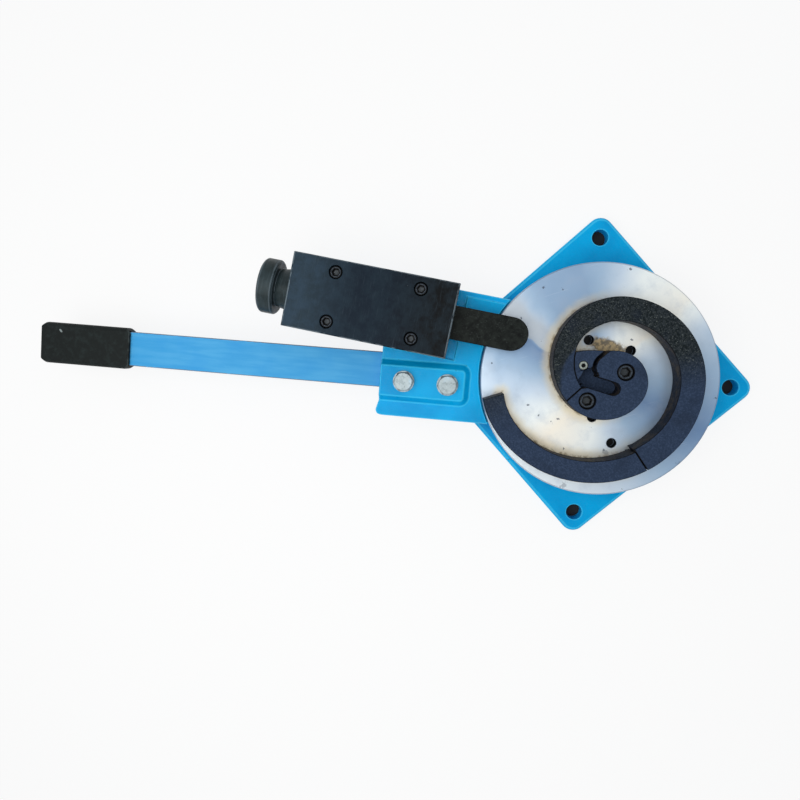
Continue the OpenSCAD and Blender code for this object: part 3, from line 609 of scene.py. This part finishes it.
tone = mixed(tree, step(tree, clouds, 0.45, 0.75, 0, 0.28), tone, srgb(150, 166, 186))
outward = {"W": times(tree, about["Radius"], 2400), "Detail": 3.0, "Roughness": 0.7}
rings = add(tree, "TexNoise", outward, noise_dimensions="1D").outputs[0]
tone = mixed(tree, step(tree, rings, 0.5, 0.8, 0, 0.16), tone, srgb(128, 142, 160))
scratch = noise(tree, where(tree, (1, 0.03, 1), 25), 900, 2)
tone = mixed(tree, step(tree, scratch, 0.69, 0.76, 0, 0.16), tone, srgb(236, 240, 242))
# Heavier towards one side: a cream band at the formers' feet, partly oil stain and partly painted
# glow, and a brown corner line, partly rust and partly painted shade.
gap = mesh_value(tree, "foot_gap")
ragged = math_of(tree, "MULTIPLY_ADD", noise(tree, place, 130, 5, 0.65), 0.007, gap)
stain_and_light_share = step(tree, toward(tree, about["Turn"], STAIN_AND_LIGHT_SIDE), -0.7, 0.5, 0.12, 1.0)
stain_and_light_share = times(tree, stain_and_light_share, math_of(tree, "SUBTRACT", 1.0, sheened_rim))
cream_stain_and_glow = times(tree, step(tree, ragged, *CREAM_STAIN_AND_GLOW_REACH), stain_and_light_share)
tone = mixed(tree, times(tree, cream_stain_and_glow, 0.55), tone, srgb(226, 208, 164))
rust_and_shade = times(tree, step(tree, ragged, *RUST_AND_SHADE_REACH), stain_and_light_share)
tone = mixed(tree, times(tree, rust_and_shade, 0.7), tone, srgb(112, 92, 58))
oily = noise(tree, place, 160, 5, 0.7)
oily = math_of(tree, "MULTIPLY_ADD", oily, 1.6, reach_of(tree, OILY_PATCH))
brown = step(tree, noise(tree, place, 260, 4), 0.4, 0.62)
brown = mixed(tree, brown, srgb(84, 70, 40), srgb(150, 128, 84))
tone = mixed(tree, step(tree, oily, 2.0, 1.45, 0, 0.9), tone, brown)
pits = use(tree, specks, Scale=70.0, Size=0.075, Share=0.42)["Mask"]
smudges = use(tree, specks, Scale=34.0, Size=0.09, Share=0.16)["Mask"]
marks = math_of(tree, "MAXIMUM", times(tree, pits, 0.8), times(tree, smudges, 0.4))
tone = mixed(tree, marks, tone, srgb(70, 80, 94))
# Painted shade: the walls of the plate's holes are painted near black below the top.
painted_hole_shade = step(tree, part_of(tree, place, 2), *HOLE_SHADE_DEPTHS)
painted_hole_shade = times(tree, painted_hole_shade, step(tree, about["Radius"], *HOLES_WITHIN))
tone = mixed(tree, painted_hole_shade, tone, srgb(14, 15, 17))
rim = use(tree, edge_wear_and_light, Scale=120.0, Share=0.7)["Mask"]
tone = mixed(tree, times(tree, rim, 0.5), tone, srgb(96, 110, 128))
rough = step(tree, clouds, 0.3, 0.8, 0.34, 0.52)
dents = use(tree, specks, Scale=45.0, Size=0.05, Share=0.2)["Mask"]
relief = bumped(tree, rings, 0.00003, 0.6)
relief = bumped(tree, dents, 0.0002, -0.6, relief)
feed(tree, shader, Base_Color=tone, Roughness=rough, Normal=relief)
dress(ground_plate, "base", ground_steel)
screws("face_plate_screws", "plate_bolts", "base", "plate_screw_black", PLATE_SCREW_TOP)


# ---- Formers ----
# The scroll is wound round three iron castings: one is screwed to the plate, and two stand on
# dowels and lift out. Their tops are dark and grainy, and their rounded edges are painted near black
# as painted shade.
FORMER_EDGE = 0.0006
CENTRE_EDGE = 0.0004
CENTRE_SHORT = 0.0003
FORMER_NAVY = srgb(40, 53, 74)
FORMER_NAVY_LIGHT = srgb(54, 68, 92)
FORMER_OLIVE = srgb(46, 52, 56)
FORMER_OLIVE_DARK = srgb(18, 25, 28)
FORMER_GRAIN = srgb(88, 94, 92)
FORMER_CLOUD = srgb(30, 38, 52)
WALL_DARK, WALL_RUSTY = srgb(26, 31, 42), srgb(62, 56, 50)
# Painted shade along the formers' rounded edges.
FORMER_EDGE_SHADE = srgb(8, 9, 12)
GRAINY_SIDE = 100
CENTRE_ENDS = (0.040, 0.044)
FORMER_SCREW_TOP = 0.0851

former_iron, tree, shader = material("former_iron", {"Specular IOR Level": 0.05})
place = where(tree)
about = use(tree, round_the_pivot, Zero=PICTURE_TURN)
outside = step(tree, about["Radius"], *CENTRE_ENDS)
grainy = times(tree, step(tree, toward(tree, about["Turn"], GRAINY_SIDE), -0.35, 0.25), outside)
fine = noise(tree, place, 620, 3, 0.7)
navy = mixed(tree, step(tree, fine, 0.4, 0.68), FORMER_NAVY, FORMER_NAVY_LIGHT)
olive = mixed(tree, step(tree, fine, 0.42, 0.6), FORMER_OLIVE_DARK, FORMER_OLIVE)
olive = mixed(tree, step(tree, noise(tree, place, 900, 2), 0.6, 0.7), olive, FORMER_GRAIN)
tone = mixed(tree, grainy, navy, olive)
tone = mixed(tree, step(tree, noise(tree, place, 45, 4), 0.5, 0.75, 0, 0.4), tone, FORMER_CLOUD)
wall = step(tree, facing_up(tree), 0.7, 0.4)
rusty = step(tree, noise(tree, place, 70, 5, 0.65), 0.45, 0.65)
tone = mixed(tree, wall, tone, mixed(tree, rusty, WALL_DARK, WALL_RUSTY))
# Painted shade: the rounded edges are painted near black.
tone = mixed(tree, times(tree, mesh_value(tree, "rounded_edge"), 0.9), tone, FORMER_EDGE_SHADE)
sandy = use(tree, casting_grain, Scale=750.0, Swell=180.0)["Height"]
rough = step(tree, fine, 0.3, 0.7, 0.42, 0.62)
feed(tree, shader, Base_Color=tone, Roughness=rough, Normal=bumped(tree, sandy, 0.00035, 0.55))
centre_scroll = rounded_copy(
    "centre_former", "centre_scroll", CENTRE_EDGE, short=CENTRE_SHORT, flatten=False
)
dress(centre_scroll, "base", former_iron)
for section in ("middle", "outer"):
    scroll = rounded_copy(section + "_former", section + "_scroll", FORMER_EDGE)
    dress(scroll, section + "_section", former_iron)
keep(turned_steel, "middle_former_dowels", "outer_former_dowels")
screws("centre_former_screws", "scroll_bolts", "base", "former_screw_black", FORMER_SCREW_TOP)


# ---- Gripping jaw ----
# A hardened insert in the centre former's slot grips the end of the strip, and a small bright screw
# holds it down.
JAW_EDGE = 0.0004
JAW_SOCKET_SHADE_DEPTHS = (0.0852, 0.0846)

zinc_screw, tree, shader = material("zinc_screw", {"Metallic": 0.6, "Specular IOR Level": 0.2})
dull = step(tree, noise(tree, where(tree), 800, 3), 0.3, 0.7)
tone = mixed(tree, dull, srgb(104, 112, 108), srgb(150, 158, 152))
# Painted shade: the screw's socket is painted near black below the head's top.
jaw_socket_shade = step(tree, part_of(tree, where(tree), 2), *JAW_SOCKET_SHADE_DEPTHS)
tone = mixed(tree, jaw_socket_shade, tone, srgb(14, 15, 16))
feed(tree, shader, Base_Color=tone, Roughness=step(tree, dull, 0, 1, 0.3, 0.42),
     Normal=bumped(tree, dull, 0.00003, 0.5))
dress(rounded_copy("jaw_insert", "jaw_block", JAW_EDGE), "base", former_iron)
keep(zinc_screw, "jaw_screw")


# ---- Swing arm ----
# One iron casting: a ring that turns about the pivot under the plate, and a long pad that carries
# the guide block and the handle. It has the same enamel as the base.
ARM_EDGE = 0.0012
dress(rounded_copy("swing_arm", "arm_casting", ARM_EDGE), "lever", blue_enamel)


# ---- Guide block ----
# A milled steel block with a bore for the follower, blackened, rubbed bright along its edges and
# mottled by handling. Its front end is painted darker as painted shade and its back end paler as a
# painted highlight. Four socket screws hold it to the pad.
BLOCK_EDGE = 0.0006
BLOCK_FRONT, BLOCK_BACK = 0.1585, 0.3265
BLOCK_SCREW_TOP = 0.10495
BLOCK_HALF = (BLOCK_BACK - BLOCK_FRONT) / 2
BLOCK_HALF_WIDE = 0.0375
SLIDE_OFFSET = -0.0274
# Painted shade towards the front end and a painted highlight towards the back end.
FRONT_SHADE_SPAN = (BLOCK_FRONT + 0.085, BLOCK_FRONT + 0.005)
BACK_HIGHLIGHT_SPAN = (BLOCK_BACK - 0.075, BLOCK_BACK - 0.01)
BAND_FROM, BAND_TO = 0.003, 0.002
BLACKENED = {"Specular IOR Level": 0.06, "Metallic": 0.1}

# Mottle: blotches of worn black oxide, between 0 and 1
mottle, given, gives = group("mottle", {"Scale": 90.0, "Sharp": 0.12}, ["Mask"])
blotch = noise(mottle, where(mottle), given["Scale"], 6, 0.72)
low = math_of(mottle, "SUBTRACT", 0.5, given["Sharp"])
high = math_of(mottle, "ADD", 0.5, given["Sharp"])
mottle.links.new(step(mottle, blotch, low, high), gives["Mask"])

blackened_block, tree, shader = material("blackened_block", BLACKENED)
along = part_of(tree, where(tree, turn=-AXLE_TURN), 0)
across = part_of(tree, where(tree, turn=-AXLE_TURN), 1)
# Painted shade at the front end and a painted highlight at the back end, over the mottle.
front_shade = step(tree, along, *FRONT_SHADE_SPAN)
back_highlight = step(tree, along, *BACK_HIGHLIGHT_SPAN)
blotches = use(tree, mottle, Scale=70.0, Sharp=0.14)["Mask"]
tone = mixed(tree, blotches, srgb(14, 26, 38), srgb(28, 40, 50))
tone = mixed(tree, back_highlight, tone, mixed(tree, blotches, srgb(36, 50, 60), srgb(46, 62, 76)))
tone = mixed(tree, front_shade, tone, mixed(tree, blotches, srgb(7, 8, 9), srgb(26, 34, 40)))
mill = noise(tree, where(tree, (1, 0.05, 1), -AXLE_TURN), 1400, 2)
tone = mixed(tree, step(tree, mill, 0.58, 0.75, 0, 0.2), tone, srgb(70, 84, 94))
from_line = math_of(tree, "ABSOLUTE", math_of(tree, "SUBTRACT", across, SLIDE_OFFSET))
from_middle = math_of(tree, "SUBTRACT", along, BLOCK_FRONT + BLOCK_HALF)
from_middle = math_of(tree, "ABSOLUTE", from_middle)
at_side = step(tree, from_line, BLOCK_HALF_WIDE - BAND_FROM, BLOCK_HALF_WIDE - BAND_TO)
at_end = step(tree, from_middle, BLOCK_HALF - BAND_FROM, BLOCK_HALF - BAND_TO)
outer = math_of(tree, "MAXIMUM", at_side, at_end)
worn = times(tree, use(tree, edge_wear_and_light, Scale=60.0, Share=0.55)["Mask"], outer)
tone = mixed(tree, times(tree, worn, 0.75), tone, srgb(112, 124, 132))
nicks = use(tree, specks, Scale=55.0, Size=0.02, Share=0.2)["Mask"]
tone = mixed(tree, times(tree, nicks, 0.5), tone, srgb(130, 138, 142))
feed(tree, shader, Base_Color=tone, Roughness=step(tree, blotches, 0, 1, 0.38, 0.52),
     Normal=bumped(tree, mill, 0.00004, 0.5))
guide = rounded_copy("guide_block", "blackened_guide", BLOCK_EDGE)
dress(guide, "lever", blackened_block)
screws("guide_block_screws", "guide_bolts", "lever", "block_screw_black", BLOCK_SCREW_TOP)
keep(turned_steel, "follower_stop_pin")


# ---- Follower ----
# A blackened steel bar with a round nose that slides in the block and presses the strip against the
# formers. A coil spring behind its tail pushes it out.
FOLLOWER_EDGE = 0.0006
SLIDE = Vector((-0.79441, -0.60738, 0.0))
SLIDE_AT = (-0.016642, 0.021767, 0.0753)
SPRING_FROM, SPRING_TO = 0.2106, 0.2932
COIL_D, WIRE_D, COILS, END_COILS = 0.0200, 0.0025, 8, 0.9
END_PACE, PACE_STARTS = 0.34, 0.35
WIRE_SIDES, WIRE_STEPS = 14, 44

blackened_bar, tree, shader = material("blackened_bar", BLACKENED)
blotches = use(tree, mottle, Scale=130.0, Sharp=0.16)["Mask"]
tone = mixed(tree, blotches, srgb(14, 17, 17), srgb(34, 38, 36))
rubbed = step(tree, noise(tree, where(tree), 480, 3), 0.58, 0.7, 0, 0.4)
tone = mixed(tree, rubbed, tone, srgb(60, 66, 64))
# Painted shade: the rounded edges are darkened almost to black.
follower_edge_shade = use(tree, edge_wear_and_light, Scale=90.0, Share=0.75)["Mask"]
tone = mixed(tree, times(tree, follower_edge_shade, 0.8), tone, srgb(16, 17, 18))
feed(tree, shader, Base_Color=tone, Roughness=step(tree, blotches, 0, 1, 0.42, 0.58),
     Normal=bumped(tree, blotches, 0.00006, 0.5))
nose = rounded_copy("follower", "follower_nose", FOLLOWER_EDGE)
dress(nose, "follower_bar", blackened_bar)


def coil_spring(name):
    """A round wire carried along a helix: the rise is slow over the end coils, which lie almost
    closed, and even between them. A ring of the wire is square to the helix: it is the sum of the
    outward direction times a cosine and the direction across the helix times a sine."""
    t = np.linspace(0, 1, COILS * WIRE_STEPS + 1)
    turn = 2 * np.pi * COILS * t
    end = END_COILS / COILS
    pace = END_PACE + (1 - END_PACE) * np.clip(np.minimum(t, 1 - t) / end - PACE_STARTS, 0, 1)
    rise = np.concatenate([[0], np.cumsum((pace[1:] + pace[:-1]) / 2)])
    run = WIRE_D / 2 + (SPRING_TO - SPRING_FROM - WIRE_D) * rise / rise[-1] + SPRING_FROM
    mean = (COIL_D - WIRE_D) / 2
    side, up = Vector((-SLIDE.y, SLIDE.x, 0)), Vector((0, 0, 1))
    out = np.cos(turn)[:, None] * np.array(side) + np.sin(turn)[:, None] * np.array(up)
    middle = np.array(SLIDE_AT) + run[:, None] * np.array(SLIDE) + mean * out
    ahead = np.gradient(middle, axis=0)
    ahead /= np.linalg.norm(ahead, axis=1)[:, None]
    across = np.cross(ahead, out)
    a = 2 * np.pi * np.arange(WIRE_SIDES) / WIRE_SIDES
    ring = np.cos(a)[None, :, None] * out[:, None] + np.sin(a)[None, :, None] * across[:, None]
    points = (middle[:, None] + WIRE_D / 2 * ring).reshape(-1, 3)
    i, j = np.meshgrid(np.arange(len(t) - 1), np.arange(WIRE_SIDES), indexing="ij")
    k = (j + 1) % WIRE_SIDES
    walls = np.stack([i, i + 1, i + 1, i], -1) * WIRE_SIDES + np.stack([j, j, k, k], -1)
    caps = [list(range(WIRE_SIDES)), list(range(len(points) - 1, len(points) - 1 - WIRE_SIDES, -1))]
    mesh = bpy.data.meshes.new(name)
    mesh.from_pydata(points.tolist(), [], walls.reshape(-1, 4).tolist() + caps)
    model = bmesh.new()
    model.from_mesh(mesh)
    bmesh.ops.recalc_face_normals(model, faces=model.faces)
    model.to_mesh(mesh)
    model.free()
    mesh.shade_smooth()
    spring = bpy.data.objects.new(name, mesh)
    bpy.context.scene.collection.objects.link(spring)
    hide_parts("follower_spring")
    return spring


spring_wire = turned_metal(
    "spring_wire", srgb(150, 152, 158), srgb(92, 96, 104), stretch=(240, 240, 240), rough=0.3
)
spring = coil_spring("wound_spring")
dress(spring, "lever", spring_wire)
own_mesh(spring)


# ---- Spring adjuster ----
# A threaded spindle runs in the block's back end and moves the nut that the spring bears on. The
# blackened knob on it is turned, and a set screw holds it.
KNOB_EDGE = 0.0008
SET_SCREW_TOP = 0.0693

axle_steel = turned_metal(
    "axle_steel", STEEL, STEEL_DARK, turn=-AXLE_TURN, stretch=(2600, 60, 60)
)
keep(axle_steel, "adjuster_spindle", "spring_seat_nut")

knob_black, tree, shader = material("knob_black", {"Specular IOR Level": 0.15, "Metallic": 0.1})
blotches = use(tree, mottle, Scale=50.0, Sharp=0.2)["Mask"]
tone = mixed(tree, blotches, srgb(28, 38, 40), srgb(44, 56, 60))
lines = noise(tree, where(tree, (1, 0.04, 0.04), -AXLE_TURN), 1800, 2)
tone = mixed(tree, step(tree, lines, 0.5, 0.7, 0, 0.3), tone, srgb(70, 82, 88))
rubbed = use(tree, edge_wear_and_light, Scale=80.0, Share=0.6)["Mask"]
tone = mixed(tree, times(tree, rubbed, 0.6), tone, srgb(88, 100, 108))
feed(tree, shader, Base_Color=tone, Roughness=step(tree, blotches, 0, 1, 0.32, 0.46),
     Normal=bumped(tree, lines, 0.00003, 0.5))
knob = rounded_copy("adjuster_knob", "turned_knob", KNOB_EDGE)
dress(knob, "adjuster", knob_black)
keep(black_oxide("set_screw_black", SET_SCREW_TOP), "knob_set_screw")


# ---- Handle ----
# A flat steel bar with satin blue paint, clamped to the pad by two zinc-plated hex bolts. The grip
# is a square black sleeve pushed over its end.
HANDLE_TURN = 224.6
BAR_EDGE = 0.0008
GRIP_EDGE = 0.0012
BOLT_EDGE = 0.0003
NICK = {
    "Location": (-0.4240, -0.4080, 0.0580), "Rotation": (0, 0, 0),
    "Scale": (0.0022, 0.0011, 0.004),
}

bar_paint, tree, shader = material("bar_paint", {"Specular IOR Level": 0.12})
place = where(tree)
streak = noise(tree, where(tree, (0.12, 1, 1), -HANDLE_TURN), 190, 4)
tone = mixed(tree, step(tree, streak, 0.35, 0.68), srgb(60, 158, 218), srgb(80, 170, 224))
deeper = step(tree, noise(tree, place, 28, 4), 0.5, 0.75, 0, 0.4)
tone = mixed(tree, deeper, tone, srgb(44, 150, 220))
rubbed = use(tree, edge_wear_and_light, Scale=45.0, Share=0.62)["Mask"]
tone = mixed(tree, times(tree, rubbed, 0.8), tone, srgb(104, 92, 84))
chips = use(tree, specks, Scale=40.0, Size=0.02, Share=0.14)["Mask"]
tone = mixed(tree, chips, tone, srgb(40, 66, 88))
feed(tree, shader, Base_Color=tone, Roughness=step(tree, streak, 0.3, 0.7, 0.36, 0.5),
     Normal=bumped(tree, streak, 0.00006, 0.5))
dress(rounded_copy("handle_bar", "painted_bar", BAR_EDGE), "lever", bar_paint)

black_grip, tree, shader = material("black_grip", {"Specular IOR Level": 0.1})
place = where(tree)
scuff = step(tree, noise(tree, place, 120, 5, 0.65), 0.45, 0.7)
tone = mixed(tree, scuff, srgb(20, 25, 25), srgb(34, 41, 41))
rubbed = use(tree, edge_wear_and_light, Scale=120.0, Share=0.5)["Mask"]
tone = mixed(tree, times(tree, rubbed, 0.5), tone, srgb(66, 74, 74))
tone = mixed(tree, step(tree, reach_of(tree, NICK), 1.2, 0.8), tone, srgb(132, 142, 142))
pebble = use(tree, casting_grain, Scale=900.0, Swell=90.0)["Height"]
feed(tree, shader, Base_Color=tone, Roughness=step(tree, scuff, 0, 1, 0.5, 0.66),
     Normal=bumped(tree, pebble, 0.0001, 0.4))
dress(rounded_copy("handle_grip", "grip_sleeve", GRIP_EDGE), "lever", black_grip)

zinc_plate, tree, shader = material("zinc_plate", {"Metallic": 0.5, "Specular IOR Level": 0.3})
bloom = step(tree, noise(tree, where(tree), 260, 4), 0.35, 0.7)
tone = mixed(tree, bloom, srgb(118, 130, 134), srgb(150, 162, 166))
bluish = step(tree, noise(tree, where(tree), 90, 3), 0.5, 0.7, 0, 0.5)
tone = mixed(tree, bluish, tone, srgb(150, 178, 196))
pits = use(tree, specks, Scale=240.0, Size=0.06, Share=0.12)["Mask"]
tone = mixed(tree, times(tree, pits, 0.4), tone, srgb(120, 126, 124))
feed(tree, shader, Base_Color=tone, Roughness=step(tree, bloom, 0, 1, 0.26, 0.4),
     Normal=bumped(tree, bloom, 0.00005, 0.5))
bolts = rounded_copy("handle_clamp_bolts", "hex_bolts", BOLT_EDGE, flatten=False)
dress(bolts, "lever", zinc_plate)
